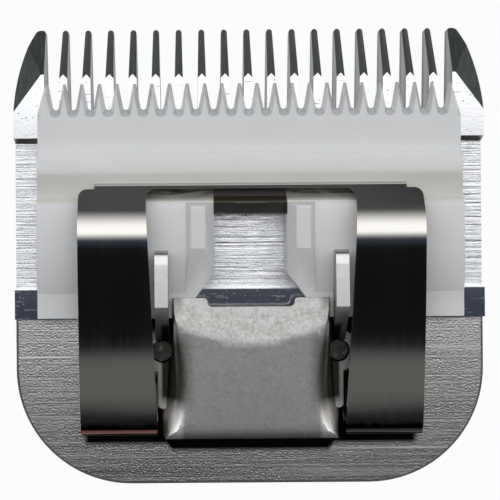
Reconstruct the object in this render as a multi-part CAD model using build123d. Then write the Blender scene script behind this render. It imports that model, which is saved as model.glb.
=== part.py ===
"""Detachable clipper blade set: comb, sliding cutter, tension spring, hinge socket and two screws.

The blade lies on its skin side. +Z points away from the skin, +Y toward the tooth tips and
+X along the stroke of the cutter. The origin is the middle of the footprint, on the skin side.
"""
from build123d import *
import os
from math import acos, asin, atan2, cos, degrees, hypot, radians, sin, sqrt

# Comb, the fixed lower blade: heights above the skin side
LAND_HEIGHT = 5.0
PLATE_HEIGHT = 4.0
GROOVE_DEPTH = 1.6
TIP_HEIGHT = 1.4

# Comb: width and the depths of its zones, from the tips to the rear edge
COMB_WIDTH = 48.0
BEVEL_DEPTH = 5.0
LAND_DEPTH = 6.5
GROOVE_WIDTH = 15.5
RAIL_DEPTH = 3.0
PLATE_DEPTH = 17.0
GROOVE_WALL_RUN = 0.45
REAR_CORNER_RADIUS = 11.8
EDGE_CHAMFER = 0.25

# Comb teeth
TOOTH_COUNT = 19
TOOTH_PITCH = 2.363
TOOTH_LENGTH = 9.6
TOOTH_TIP_WIDTH = 0.62
TOOTH_ROOT_WIDTH = 1.0
TOOTH_CROWN_RUN = 0.42
GUARD_FLANK_DEPTH = 8.8
GUARD_FLANK_RADIUS = 19.0
GUARD_TIP_RADIUS = 0.6
GUARD_LAND_INSET = 0.1

# Cutter, the sliding upper blade: heights above the cutting plane
CUTTER_EDGE_THICKNESS = 1.1
CUTTER_RIDGE_HEIGHT = 2.45
CUTTER_VALLEY_HEIGHT = 2.0
CUTTER_PLATEAU_HEIGHT = 3.05
CUTTER_REAR_HEIGHT = 2.3
CUTTER_STEP_HEIGHT = 0.18
CUTTER_GUIDE_DEPTH = 0.8

# Cutter: plan sizes
CUTTER_WIDTH = 42.9
CUTTER_TIP_SETBACK = 1.0
CUTTER_REAR_SETBACK = 0.2
CUTTER_TOOTH_COUNT = 24
CUTTER_TOOTH_PITCH = 1.787
CUTTER_TOOTH_LENGTH = 2.65
CUTTER_TIP_WIDTH = 0.3
CUTTER_GULLET_WIDTH = 0.62
CUTTER_GULLET_SLANT = 0.55
CUTTER_GULLET_FLARE = 0.28
CUTTER_NOSE_RUN = 0.9
RIDGE_SETBACK = 1.4
RIDGE_SLOPE_RUN = 0.9
RIDGE_TOP_DEPTH = 0.9
VALLEY_SLOPE_RUN = 0.8
VALLEY_DEPTH = 2.1
PLATEAU_SLOPE_RUN = 0.5
PLATEAU_STEP_DEPTH = 0.6
REAR_BAND_DEPTH = 2.5
REAR_FALL_RUN = 4.6
CUTTER_STROKE = 2.8

# Drive slot of the cutter and the bosses beside it
DRIVE_SLOT_WIDTH = 7.24
DRIVE_SLOT_WALL = 0.2
DRIVE_SLOT_WALL_RUN = 0.9
DRIVE_MOUTH_DEPTH = 4.5
DRIVE_MOUTH_FLARE = 0.78
BOSS_WIDTH = 2.85
BOSS_HEIGHT = 1.15
BOSS_INNER_RUN = 0.95
BOSS_OUTER_RUN = 0.45
BOSS_FRONT_RUN = 0.5
BOSS_PAD_DEPTH = 4.1
BOSS_RAMP_RUN = 4.6
BOSS_ROUNDING = 0.35

# Tension spring: one stamped strip frame, looped over at the rear
SPRING_THICKNESS = 0.6
SPRING_WIDTH = 34.3
SPRING_REACH = 11.75
SPRING_BEND_RADIUS = 1.5
SPRING_ARM_RADIUS = 100.0
SPRING_CREST_RISE = 4.0
SPRING_CREST_SETBACK = 4.8
SPRING_CREST_RADIUS = 3.6
SPRING_LIP_RADIUS = 0.3
SPRING_FOOT_HEIGHT = 0.56
SPRING_LIP_WIDTH = 31.2
SPRING_CORNER_RADIUS = 0.8
SPRING_ARM_TAPER = 1.0
SPRING_OPENING_RADIUS = 1.0
SPRING_BASE_FRONT = 1.1
SPRING_BASE_REAR = 9.2

# Hinge socket: one stamping with a tongue channel, two flanges and two upright ears
SOCKET_SHEET = 1.2
TONGUE_HEIGHT = 3.1
SOCKET_OVERHANG = 2.2
SOCKET_REACH = 11.85
SOCKET_FRONT_WIDTH = 15.5
SOCKET_FRONT_SPREAD = 0.6
SOCKET_FRONT_SHOULDER = 0.7
SOCKET_FRONT_RUN = 3.6
SOCKET_WAIST_SETBACK = 8.2
SOCKET_WAIST_WIDTH = 15.0
SOCKET_WAIST_SPREAD = 1.3
SOCKET_WAIST_SHOULDER = 2.0
SOCKET_REAR_WIDTH = 17.2
SOCKET_REAR_SPREAD = 0.3
SOCKET_REAR_SHOULDER = 0.6
SOCKET_CROWN = 0.28
SOCKET_FACET_DEPTH = 4.1
SOCKET_FACET_DROP = 0.6
SOCKET_REAR_BEVEL = 0.95
SOCKET_REAR_BEVEL_DROP = 0.5
SOCKET_NOTCH_WIDTH = 9.6
SOCKET_NOTCH_DEPTH = 0.9
FLANGE_WIDTH = 18.8
FLANGE_REACH = 9.1
FLANGE_END_RADIUS = 0.45
LUG_RADIUS = 2.1
EAR_THICKNESS = 1.33
EAR_NOSE_DEPTH = 2.1
EAR_NOSE_ROUNDING = 0.75
EAR_NOSE_FALL = 0.4
EAR_NOSE_REACH = 7.0
EAR_TOP_REAR = 1.4
EAR_STEM_DEPTH = 2.1

# Screws, up from the skin side into the socket flanges
SCREW_SPACING = 17.9
SCREW_SETBACK = 3.3
SCREW_DIAMETER = 2.2
SCREW_HEAD_DIAMETER = 4.6
SCREW_HEAD_RECESS = 0.2
SCREW_HEAD_HEIGHT = 1.3
SCREW_END_SETBACK = 0.7
SCREW_SLOT_WIDTH = 0.6
SCREW_SLOT_DEPTH = 0.7

# Clearances
GUIDE_CLEARANCE = 0.15
SLIDE_CLEARANCE = 0.35
EAR_CLEARANCE = 0.4
SPRING_EAR_CLEARANCE = 0.2
THREAD_CLEARANCE = 0.05
HOLE_CLEARANCE = 0.2
HEAD_CLEARANCE = 0.05
CUT_MARGIN = 2.0

# Places along Y, from the tips to the rear
comb_length = BEVEL_DEPTH + LAND_DEPTH + GROOVE_WIDTH + RAIL_DEPTH + PLATE_DEPTH
tip_y = comb_length / 2
land_y = tip_y - BEVEL_DEPTH
groove_y = land_y - LAND_DEPTH
rail_y = groove_y - GROOVE_WIDTH
plate_y = rail_y - RAIL_DEPTH
rear_y = -comb_length / 2

cutter_tip_y = land_y - CUTTER_TIP_SETBACK
cutter_rear_y = plate_y + CUTTER_REAR_SETBACK
ridge_foot_y = groove_y - RIDGE_SETBACK
ridge_y = ridge_foot_y - RIDGE_SLOPE_RUN
valley_front_y = ridge_y - RIDGE_TOP_DEPTH - VALLEY_SLOPE_RUN
valley_rear_y = valley_front_y - VALLEY_DEPTH
plateau_y = valley_rear_y - PLATEAU_SLOPE_RUN
rear_band_y = cutter_rear_y + REAR_BAND_DEPTH
plateau_rear_y = rear_band_y + REAR_FALL_RUN
lip_y = (valley_front_y + valley_rear_y) / 2

screw_y = plate_y - SCREW_SETBACK
spring_base_front_y = plate_y - SPRING_BASE_FRONT
spring_base_rear_y = plate_y - SPRING_BASE_REAR
spring_rear_y = plate_y - SPRING_REACH
socket_front_y = plate_y + SOCKET_OVERHANG
socket_rear_y = plate_y - SOCKET_REACH
socket_wall_y = cutter_rear_y - SLIDE_CLEARANCE
flange_rear_y = plate_y - FLANGE_REACH

# Places along X, on either side of the middle plane
boss_outer_x = DRIVE_SLOT_WIDTH / 2 + BOSS_WIDTH
ear_inner_x = boss_outer_x + CUTTER_STROKE / 2 + EAR_CLEARANCE
ear_outer_x = ear_inner_x + EAR_THICKNESS

# Heights
groove_z = LAND_HEIGHT - GROOVE_DEPTH
valley_z = LAND_HEIGHT + CUTTER_VALLEY_HEIGHT
plateau_z = LAND_HEIGHT + CUTTER_PLATEAU_HEIGHT
spring_seat_z = PLATE_HEIGHT
socket_seat_z = PLATE_HEIGHT + SPRING_THICKNESS
flange_top_z = socket_seat_z + SOCKET_SHEET
tongue_top_z = socket_seat_z + TONGUE_HEIGHT
socket_top_z = tongue_top_z + SOCKET_SHEET
cutter_rear_z = LAND_HEIGHT + CUTTER_REAR_HEIGHT
ear_low_z = plateau_z + SLIDE_CLEARANCE
ear_top_z = ear_low_z + EAR_NOSE_DEPTH
spring_crest_z = valley_z + SPRING_CREST_RISE
everything_z = max(spring_crest_z, ear_top_z, socket_top_z) + CUT_MARGIN


def prism(sketch, z_low, z_high):
    """Plan sketch raised between two heights."""
    return extrude(Pos(0, 0, z_low) * sketch, z_high - z_low)


def across(face, x_low, x_high):
    """Side-view face, drawn as (y, z), drawn out along X between two places."""
    return Pos(x_low, 0, 0) * extrude(Plane.YZ * face, x_high - x_low)


def both_sides(solid):
    """A solid and its mirror image in the middle plane."""
    return [solid, mirror(solid, Plane.YZ)]


def comb_slot(x):
    """Plan of the slot between two comb teeth: flat root, tapering flanks and rounded tooth tips."""
    root = (TOOTH_PITCH - TOOTH_ROOT_WIDTH) / 2
    root_y = tip_y - TOOTH_LENGTH
    radius = TOOTH_TIP_WIDTH / 2
    half_pitch = TOOTH_PITCH / 2
    mouth = half_pitch - radius
    flank_y = tip_y - radius
    beyond_y = tip_y + CUT_MARGIN
    bow = radius * (1 - sqrt(0.5))
    rise = radius * sqrt(0.5)
    edge = [
        Polyline((-mouth, flank_y), (-root, root_y), (root, root_y), (mouth, flank_y)),
        ThreePointArc((mouth, flank_y), (mouth + bow, flank_y + rise), (half_pitch, tip_y)),
        Polyline((half_pitch, tip_y), (half_pitch, beyond_y), (-half_pitch, beyond_y), (-half_pitch, tip_y)),
        ThreePointArc((-half_pitch, tip_y), (-mouth - bow, flank_y + rise), (-mouth, flank_y)),
    ]
    return Pos(x, 0) * make_face(Curve() + edge)


def gullet(x):
    """Plan of the gap between two cutter teeth, from the tip line at zero: round root and straight flanks."""
    root = CUTTER_GULLET_WIDTH / 2
    mouth = (CUTTER_TOOTH_PITCH - CUTTER_TIP_WIDTH) / 2
    centre_y = root - CUTTER_TOOTH_LENGTH
    edge = [
        ThreePointArc((-root, centre_y), (0, -CUTTER_TOOTH_LENGTH), (root, centre_y)),
        Polyline((root, centre_y), (mouth, 0), (mouth, CUT_MARGIN), (-mouth, CUT_MARGIN), (-mouth, 0),
                 (-root, centre_y)),
    ]
    return Pos(x, 0) * make_face(Curve() + edge)


def row(count, pitch):
    """Places of a row of features, centred on the middle plane."""
    return [(i - (count - 1) / 2) * pitch for i in range(count)]


def comb_outline():
    """Plan of the comb: straight front, bowed guard flanks, square sides and rounded rear corners."""
    half = COMB_WIDTH / 2
    flank_y = tip_y - GUARD_FLANK_DEPTH
    flank_run = GUARD_FLANK_RADIUS - sqrt(GUARD_FLANK_RADIUS ** 2 - GUARD_FLANK_DEPTH ** 2)
    guard_x = half - flank_run
    corner = REAR_CORNER_RADIUS
    right = [
        Line((0, tip_y), (guard_x, tip_y)),
        RadiusArc((guard_x, tip_y), (half, flank_y), GUARD_FLANK_RADIUS),
        Line((half, flank_y), (half, rear_y + corner)),
        RadiusArc((half, rear_y + corner), (half - corner, rear_y), corner),
        Line((half - corner, rear_y), (0, rear_y)),
    ]
    left = [mirror(edge, Plane.YZ) for edge in right]
    outline = make_face(Curve() + right + left)
    guard_tips = [v for v in outline.vertices() if abs(v.Y - tip_y) < 0.01 and abs(v.X) > guard_x / 2]
    return fillet(guard_tips, GUARD_TIP_RADIUS)


def make_comb():
    """Steel lower blade: bevelled teeth, lapped land and rail, ground groove and rear plate."""
    section = Polyline(
        (rear_y, 0), (tip_y, 0), (tip_y, TIP_HEIGHT), (land_y, LAND_HEIGHT), (groove_y, LAND_HEIGHT),
        (groove_y - GROOVE_WALL_RUN, groove_z), (rail_y, groove_z), (rail_y, LAND_HEIGHT),
        (plate_y, LAND_HEIGHT), (plate_y, PLATE_HEIGHT), (rear_y, PLATE_HEIGHT), close=True)
    half = COMB_WIDTH / 2
    comb = across(make_face(section), -half, half) & prism(comb_outline(), -CUT_MARGIN, everything_z)

    comb -= [prism(comb_slot(x), -CUT_MARGIN, LAND_HEIGHT + CUT_MARGIN)
             for x in row(TOOTH_COUNT - 1, TOOTH_PITCH)]
    comb -= tooth_crowns() + guard_bevels()

    rim = [e for e in comb.edges()
           if abs(e.center().Z - PLATE_HEIGHT) < 0.01 and e.center().Y < plate_y - 0.01]
    comb = chamfer(rim, EDGE_CHAMFER)

    hole = Circle(SCREW_DIAMETER / 2 + HOLE_CLEARANCE)
    sink = Circle(SCREW_HEAD_DIAMETER / 2 + HEAD_CLEARANCE)
    bore = prism(hole, 0, everything_z) + prism(sink, -CUT_MARGIN, SCREW_HEAD_RECESS + SCREW_HEAD_HEIGHT)
    comb -= [Pos(x, screw_y, 0) * bore for x in row(2, SCREW_SPACING)]
    return comb


def tooth_crowns():
    """Cuts that give the bevel of each inner tooth its ridge, so the land ends in a pointed arch."""
    bevel_angle = atan2(LAND_HEIGHT - TIP_HEIGHT, BEVEL_DEPTH)
    half = TOOTH_PITCH / 2
    tooth_half = (TOOTH_TIP_WIDTH + (TOOTH_ROOT_WIDTH - TOOTH_TIP_WIDTH) * BEVEL_DEPTH / TOOTH_LENGTH) / 2
    flank_drop = TOOTH_CROWN_RUN * sin(bevel_angle) * half / tooth_half
    roof = make_face(Polyline((0, 0), (half, flank_drop), (half, -CUT_MARGIN), (-half, -CUT_MARGIN),
                              (-half, flank_drop), close=True))
    length = 2 * BEVEL_DEPTH + 2 * CUT_MARGIN
    cuts = []
    for x in row(TOOTH_COUNT - 2, TOOTH_PITCH):
        ridge = Plane(origin=(x, land_y, LAND_HEIGHT), x_dir=(1, 0, 0),
                      z_dir=(0, cos(bevel_angle), -sin(bevel_angle)))
        cuts.append(extrude(ridge * Pos(0, 0, -CUT_MARGIN) * roof, length))
    return cuts


def guard_bevels():
    """Facets on the two guard teeth, as steep as the tooth bevel, that cut the land off along a diagonal."""
    guard_x = (TOOTH_COUNT - 1) / 2 * TOOTH_PITCH
    bevel_angle = atan2(LAND_HEIGHT - TIP_HEIGHT, BEVEL_DEPTH)
    outer = Vector(COMB_WIDTH / 2, tip_y - GUARD_FLANK_DEPTH, LAND_HEIGHT)
    inner = Vector(guard_x - GUARD_LAND_INSET, land_y, LAND_HEIGHT)
    along = (inner - outer).normalized()
    outward = Vector(along.Y, -along.X, 0)
    normal = outward * sin(bevel_angle) + Vector(0, 0, cos(bevel_angle))
    facet = Plane(origin=outer, x_dir=along, z_dir=normal)
    reach = 2 * GUARD_FLANK_DEPTH
    cut = extrude(facet * Rectangle(2 * reach, 2 * reach), reach)
    keep_out = Pos(guard_x - TOOTH_PITCH / 2, 0, 0) * Box(
        COMB_WIDTH, 4 * tip_y, 2 * everything_z, align=(Align.MIN, Align.CENTER, Align.CENTER))
    return both_sides(cut & keep_out)


def make_cutter():
    """White ceramic upper blade: fine teeth, ridge, spring valley, drive slot and bosses."""
    edge_z = LAND_HEIGHT + CUTTER_EDGE_THICKNESS
    ridge_z = LAND_HEIGHT + CUTTER_RIDGE_HEIGHT
    step_z = plateau_z - CUTTER_STEP_HEIGHT
    guide_front = groove_y - GROOVE_WALL_RUN - GUIDE_CLEARANCE
    guide_rear = rail_y + GUIDE_CLEARANCE
    guide_z = LAND_HEIGHT - CUTTER_GUIDE_DEPTH
    top = Polyline(
        (cutter_tip_y, LAND_HEIGHT), (cutter_tip_y - CUTTER_NOSE_RUN, edge_z), (ridge_foot_y, edge_z),
        (ridge_y, ridge_z), (ridge_y - RIDGE_TOP_DEPTH, ridge_z), (valley_front_y, valley_z),
        (valley_rear_y, valley_z), (plateau_y, step_z), (plateau_y - PLATEAU_STEP_DEPTH, plateau_z),
        (plateau_rear_y, plateau_z))
    rear_fall = TangentArc((plateau_rear_y, plateau_z), (rear_band_y, cutter_rear_z), tangent=(-1, 0))
    under = Polyline(
        (rear_band_y, cutter_rear_z), (cutter_rear_y, cutter_rear_z), (cutter_rear_y, LAND_HEIGHT),
        (guide_rear, LAND_HEIGHT), (guide_rear, guide_z), (guide_front, guide_z), (guide_front, LAND_HEIGHT),
        (cutter_tip_y, LAND_HEIGHT))
    half = CUTTER_WIDTH / 2
    cutter = across(make_face(Curve() + [top, rear_fall, under]), -half, half)

    cutter += both_sides(drive_boss())
    cutter -= drive_slot()

    cutter -= gullets()
    return cutter


def gullets():
    """Cuts between the cutter teeth and beside the end teeth, scooped out wider and deeper to the top."""
    cuts = [gullet(x) for x in row(CUTTER_TOOTH_COUNT - 1, CUTTER_TOOTH_PITCH)]
    half = CUTTER_WIDTH / 2
    end_tip = (CUTTER_TOOTH_COUNT - 1) / 2 * CUTTER_TOOTH_PITCH + CUTTER_TIP_WIDTH / 2
    shoulder = make_face(Polyline((end_tip, 0), (end_tip, CUT_MARGIN), (half + CUT_MARGIN, CUT_MARGIN),
                                  (half + CUT_MARGIN, -CUTTER_TOOTH_LENGTH), (half, -CUTTER_TOOTH_LENGTH),
                                  close=True))
    return [loft([gullet_level(cut, -0.5), gullet_level(cut, 1.5)], ruled=True)
            for cut in cuts + both_sides(shoulder)]


def gullet_level(plan, share):
    """A gullet's plan at a share of the edge thickness above the cutting plane."""
    grown = offset(plan, CUTTER_GULLET_FLARE * share, kind=Kind.INTERSECTION)
    return Pos(0, cutter_tip_y - CUTTER_GULLET_SLANT * share,
               LAND_HEIGHT + CUTTER_EDGE_THICKNESS * share) * grown


def drive_boss():
    """Raised boss beside the drive slot: flat pad, steep sides and a long ramp to the rear."""
    inner = DRIVE_SLOT_WIDTH / 2
    outer = boss_outer_x
    pad_z = plateau_z + BOSS_HEIGHT
    pad_y = plateau_y - PLATEAU_STEP_DEPTH
    pad_rear_y = pad_y - BOSS_PAD_DEPTH
    ramp_rear_y = pad_rear_y - BOSS_RAMP_RUN
    side = make_face(Polyline(
        (pad_y + BOSS_FRONT_RUN, plateau_z - CUTTER_STEP_HEIGHT), (pad_y, pad_z), (pad_rear_y, pad_z),
        (ramp_rear_y, cutter_rear_z), (ramp_rear_y, LAND_HEIGHT), (pad_y + BOSS_FRONT_RUN, LAND_HEIGHT),
        close=True))
    front = make_face(Polyline(
        (inner - CUT_MARGIN, LAND_HEIGHT), (inner - CUT_MARGIN, plateau_z), (inner, plateau_z),
        (inner + BOSS_INNER_RUN, pad_z), (outer - BOSS_OUTER_RUN, pad_z), (outer, plateau_z),
        (outer, LAND_HEIGHT), close=True))
    span = 4 * tip_y
    gauge = Pos(0, span / 2, 0) * extrude(Plane.XZ * front, span)
    boss = across(side, inner - CUT_MARGIN, outer) & gauge
    crown = [e for e in boss.edges() if min(v.Z for v in e.vertices()) > plateau_z + BOSS_HEIGHT / 2]
    return fillet(crown, BOSS_ROUNDING)


def drive_slot():
    """Window for the drive finger: leaning front wall, straight sides and a flared mouth to the rear."""
    half = DRIVE_SLOT_WIDTH / 2
    front_y = plateau_y - DRIVE_SLOT_WALL - DRIVE_SLOT_WALL_RUN
    mouth_y = cutter_rear_y + DRIVE_MOUTH_DEPTH
    beyond_y = cutter_rear_y - CUT_MARGIN
    flare = half + DRIVE_MOUTH_FLARE * (mouth_y - beyond_y)
    plan = make_face(Polyline((half, front_y), (half, mouth_y), (flare, beyond_y), (-flare, beyond_y),
                              (-half, mouth_y), (-half, front_y), close=True))
    low_z = LAND_HEIGHT - CUTTER_GUIDE_DEPTH - CUT_MARGIN
    lean = make_face(Polyline((front_y, LAND_HEIGHT), (front_y + DRIVE_SLOT_WALL_RUN, plateau_z),
                              (front_y + DRIVE_SLOT_WALL_RUN, everything_z), (mouth_y, everything_z),
                              (mouth_y, LAND_HEIGHT), close=True))
    return [prism(plan, low_z, everything_z), across(lean, -half, half)]


def spring_edge(offset):
    """One surface of the bent strip in side view, at an offset outward from its middle surface."""
    mid = SPRING_THICKNESS / 2
    bend = SPRING_BEND_RADIUS + mid
    crest = SPRING_CREST_RADIUS + mid
    lip = SPRING_LIP_RADIUS + mid
    base_z = spring_seat_z + mid
    bend_y = spring_rear_y + mid + bend
    crest_y = lip_y - SPRING_CREST_SETBACK

    # The arm is one long arc, tangent to the rear bend and to the crest bend, which both lie inside it
    run = crest_y - bend_y
    rise = (spring_crest_z - mid - crest) - (base_z + bend)
    reach = hypot(run, rise)
    chord = degrees(atan2(rise, run))
    far = SPRING_ARM_RADIUS - bend
    near = SPRING_ARM_RADIUS - crest
    arm_start = chord + 90 - degrees(acos((reach ** 2 + far ** 2 - near ** 2) / (2 * reach * far)))
    arm_end = chord - 90 + degrees(acos((reach ** 2 + near ** 2 - far ** 2) / (2 * reach * near)))

    # The front slope is the straight tangent from the crest bend to the lip bend
    ahead = SPRING_CREST_SETBACK - lip
    fall = (spring_crest_z - mid - crest) - (valley_z + SPRING_FOOT_HEIGHT)
    span = hypot(ahead, fall)
    front_angle = degrees(atan2(fall, ahead) + asin((crest - lip) / span))
    slope_length = sqrt(span ** 2 - (crest - lip) ** 2)

    base = Line((spring_base_front_y, base_z - offset), (bend_y, base_z - offset))
    rear_bend = JernArc(base @ 1, base % 1, bend + offset, arm_start - 180)
    arm = JernArc(rear_bend @ 1, rear_bend % 1, SPRING_ARM_RADIUS + offset, arm_end - arm_start)
    crest_bend = JernArc(arm @ 1, arm % 1, crest + offset, -arm_end - front_angle)
    slope = PolarLine(crest_bend @ 1, slope_length, direction=crest_bend % 1)
    lip_bend = JernArc(slope @ 1, slope % 1, lip + offset, front_angle - 90)
    foot = Line(lip_bend @ 1, ((lip_bend @ 1).X, valley_z))
    return [base, rear_bend, arm, crest_bend, slope, lip_bend, foot]


def make_spring():
    """Spring steel frame: base under the socket, two arms looped forward, and a lip on the cutter."""
    mid = SPRING_THICKNESS / 2
    outer = spring_edge(mid)
    inner = spring_edge(-mid)
    caps = [Line(outer[0] @ 0, inner[0] @ 0), Line(outer[-1] @ 1, inner[-1] @ 1)]
    half = SPRING_WIDTH / 2
    spring = across(make_face(Curve() + outer + inner + caps), -half, half)

    bar_y = lip_y - mid
    arm_front_y = bar_y
    behind_y = spring_rear_y - CUT_MARGIN
    ahead_y = lip_y + mid + CUT_MARGIN
    lip_half = SPRING_LIP_WIDTH / 2
    plan = make_face(Polyline((half, behind_y), (half, arm_front_y), (lip_half, arm_front_y),
                              (lip_half, ahead_y), (-lip_half, ahead_y), (-lip_half, arm_front_y),
                              (-half, arm_front_y), (-half, behind_y), close=True))
    corners = [v for v in plan.vertices() if abs(v.Y - arm_front_y) < 0.01 and abs(v.X) > half - 0.01]
    spring &= prism(fillet(corners, SPRING_CORNER_RADIUS), 0, everything_z)

    ear_share = (socket_wall_y - EAR_STEM_DEPTH - spring_base_rear_y) / (bar_y - spring_base_rear_y)
    rear_half = ear_outer_x + SPRING_EAR_CLEARANCE - SPRING_ARM_TAPER * ear_share
    front_half = rear_half + SPRING_ARM_TAPER
    window = make_face(Polyline((front_half, bar_y), (rear_half, spring_base_rear_y), (rear_half, behind_y),
                                (-rear_half, behind_y), (-rear_half, spring_base_rear_y),
                                (-front_half, bar_y), close=True))
    window = fillet([v for v in window.vertices() if abs(v.Y - bar_y) < 0.01], SPRING_OPENING_RADIUS)
    split_z = spring_seat_z + SPRING_THICKNESS + SPRING_BEND_RADIUS
    mouth = Pos(0, (behind_y + spring_base_rear_y) / 2) * Rectangle(
        2 * rear_half, spring_base_rear_y - behind_y)
    spring -= [prism(window, split_z, everything_z), prism(mouth, 0, split_z + CUT_MARGIN)]

    hole = Circle(SCREW_DIAMETER / 2 + HOLE_CLEARANCE)
    spring -= [prism(Pos(x, screw_y) * hole, 0, split_z) for x in row(2, SCREW_SPACING)]
    return spring


def arch(y, width, spread, shoulder, inset):
    """Cross-section of the tongue channel: spreading walls, rounded shoulders and a crowned roof."""
    top = width / 2 - inset
    foot = top + spread
    low_z = socket_seat_z - inset
    high_z = socket_top_z - inset
    edge = [
        Line((-foot, low_z), (foot, low_z)),
        Line((foot, low_z), (top, high_z - SOCKET_CROWN)),
        ThreePointArc((top, high_z - SOCKET_CROWN), (0, high_z), (-top, high_z - SOCKET_CROWN)),
        Line((-top, high_z - SOCKET_CROWN), (-foot, low_z)),
    ]
    face = make_face(Curve() + edge)
    shoulders = [v for v in face.vertices() if v.Y > low_z + TONGUE_HEIGHT / 2]
    face = fillet(shoulders, max(shoulder - inset, shoulder / 3))
    return Plane(origin=(0, y, 0), x_dir=(1, 0, 0), z_dir=(0, -1, 0)) * face


def channel(inset, beyond):
    """Tongue channel body: square at the front, then drawn in to a waist and flared to the rear mouth."""
    waist_y = socket_front_y - SOCKET_WAIST_SETBACK
    return loft([
        arch(socket_front_y + beyond, SOCKET_FRONT_WIDTH, SOCKET_FRONT_SPREAD, SOCKET_FRONT_SHOULDER, inset),
        arch(socket_front_y - SOCKET_FRONT_RUN, SOCKET_FRONT_WIDTH, SOCKET_FRONT_SPREAD,
             SOCKET_FRONT_SHOULDER, inset),
        arch(waist_y, SOCKET_WAIST_WIDTH, SOCKET_WAIST_SPREAD, SOCKET_WAIST_SHOULDER, inset),
        arch(socket_rear_y - beyond, SOCKET_REAR_WIDTH, SOCKET_REAR_SPREAD, SOCKET_REAR_SHOULDER, inset),
    ])


def make_socket():
    """Stamped hinge socket: crowned tongue channel, screw flanges and forward-reaching ears."""
    socket = channel(0, 0)

    flange_half = FLANGE_WIDTH / 2
    flange_mid = (socket_wall_y + flange_rear_y) / 2
    flange = Pos(0, flange_mid) * Rectangle(FLANGE_WIDTH, socket_wall_y - flange_rear_y)
    flange = fillet([v for v in flange.vertices() if v.Y < flange_mid], FLANGE_END_RADIUS)
    for x in row(2, SCREW_SPACING):
        flange += Pos(x, screw_y) * Circle(LUG_RADIUS)
    socket += prism(flange, socket_seat_z, flange_top_z)
    socket += both_sides(ear())
    socket -= channel(SOCKET_SHEET, CUT_MARGIN)

    roof_front = make_face(Polyline(
        (socket_front_y - SOCKET_FACET_DEPTH, socket_top_z),
        (socket_front_y, socket_top_z - SOCKET_FACET_DROP),
        (socket_front_y + CUT_MARGIN, socket_top_z - SOCKET_FACET_DROP),
        (socket_front_y + CUT_MARGIN, everything_z),
        (socket_front_y - SOCKET_FACET_DEPTH, everything_z), close=True))
    roof_rear = make_face(Polyline(
        (socket_rear_y + SOCKET_REAR_BEVEL, socket_top_z - SOCKET_CROWN / 2),
        (socket_rear_y, socket_top_z - SOCKET_CROWN / 2 - SOCKET_REAR_BEVEL_DROP),
        (socket_rear_y - CUT_MARGIN, socket_top_z - SOCKET_CROWN / 2 - SOCKET_REAR_BEVEL_DROP),
        (socket_rear_y - CUT_MARGIN, everything_z),
        (socket_rear_y + SOCKET_REAR_BEVEL, everything_z), close=True))
    socket -= across(roof_front, -ear_inner_x, ear_inner_x)
    socket -= across(roof_rear, -COMB_WIDTH / 2, COMB_WIDTH / 2)

    room_z = cutter_rear_z + SLIDE_CLEARANCE
    room_front_y = socket_front_y + CUT_MARGIN
    room = Pos(0, (socket_wall_y + room_front_y) / 2) * Rectangle(COMB_WIDTH, room_front_y - socket_wall_y)
    socket -= prism(room, 0, room_z)
    socket -= prism(socket_notch(), tongue_top_z - CUT_MARGIN, everything_z)

    bore = Circle(SCREW_DIAMETER / 2 + THREAD_CLEARANCE)
    socket -= [prism(Pos(x, screw_y) * bore, 0, tongue_top_z) for x in row(2, SCREW_SPACING)]
    return socket


def socket_notch():
    """Shallow notch in the front edge of the roof, with reversed curves at its ends."""
    half = SOCKET_NOTCH_WIDTH / 2
    deep_y = socket_front_y - SOCKET_NOTCH_DEPTH
    ease = SOCKET_NOTCH_DEPTH
    rise = JernArc((half - ease, deep_y), (1, 0), ease / 2, 90)
    turn = JernArc(rise @ 1, rise % 1, ease / 2, -90)
    beyond_y = socket_front_y + CUT_MARGIN
    right = [Line((0, deep_y), (half - ease, deep_y)), rise, turn,
             Polyline((half, socket_front_y), (half, beyond_y), (0, beyond_y))]
    left = [mirror(edge, Plane.YZ) for edge in right]
    return make_face(Curve() + right + left)


def ear():
    """Upright ear: a stem on the flange and a blunt nose that reaches forward over the cutter."""
    stem_y = socket_wall_y
    stem_rear_y = stem_y - EAR_STEM_DEPTH
    nose_y = plate_y + EAR_NOSE_REACH
    top_rear_y = plate_y + EAR_TOP_REAR
    low_z = cutter_rear_z + SLIDE_CLEARANCE
    rise_y = rear_band_y + REAR_FALL_RUN / 2
    side = make_face(Polyline(
        (stem_y, socket_seat_z), (stem_y, low_z), (rear_band_y, low_z), (rise_y, ear_low_z),
        (nose_y, ear_low_z), (nose_y, ear_top_z), (top_rear_y, ear_top_z + EAR_NOSE_FALL),
        (stem_rear_y, flange_top_z),
        (stem_rear_y, socket_seat_z), close=True))
    nose = [v for v in side.vertices() if abs(v.X - nose_y) < 0.01]
    side = fillet(nose, EAR_NOSE_ROUNDING * EAR_NOSE_DEPTH / 2)
    return across(side, ear_inner_x, ear_outer_x)


def make_screw(x):
    """Slotted flat-head screw, head sunk in the skin side, end inside the socket flange."""
    head_z = SCREW_HEAD_RECESS + SCREW_HEAD_HEIGHT
    end_z = flange_top_z - SCREW_END_SETBACK
    screw = prism(Circle(SCREW_HEAD_DIAMETER / 2), SCREW_HEAD_RECESS, head_z)
    screw += prism(Circle(SCREW_DIAMETER / 2), head_z, end_z)
    slot_z = SCREW_HEAD_RECESS + SCREW_SLOT_DEPTH
    screw -= prism(Rectangle(SCREW_HEAD_DIAMETER, SCREW_SLOT_WIDTH), 0, slot_z)
    return Pos(x, screw_y, 0) * screw


def main():
    """Write one STEP file for each piece of the blade set."""
    os.makedirs("parts", exist_ok=True)
    pieces = {
        "comb": make_comb(),
        "cutter": make_cutter(),
        "tension_spring": make_spring(),
        "socket": make_socket(),
        "screws": Compound(children=[make_screw(x) for x in row(2, SCREW_SPACING)]),
    }
    for name, piece in pieces.items():
        export_step(piece, f"parts/{name}.step")


main()
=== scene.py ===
import math

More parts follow.
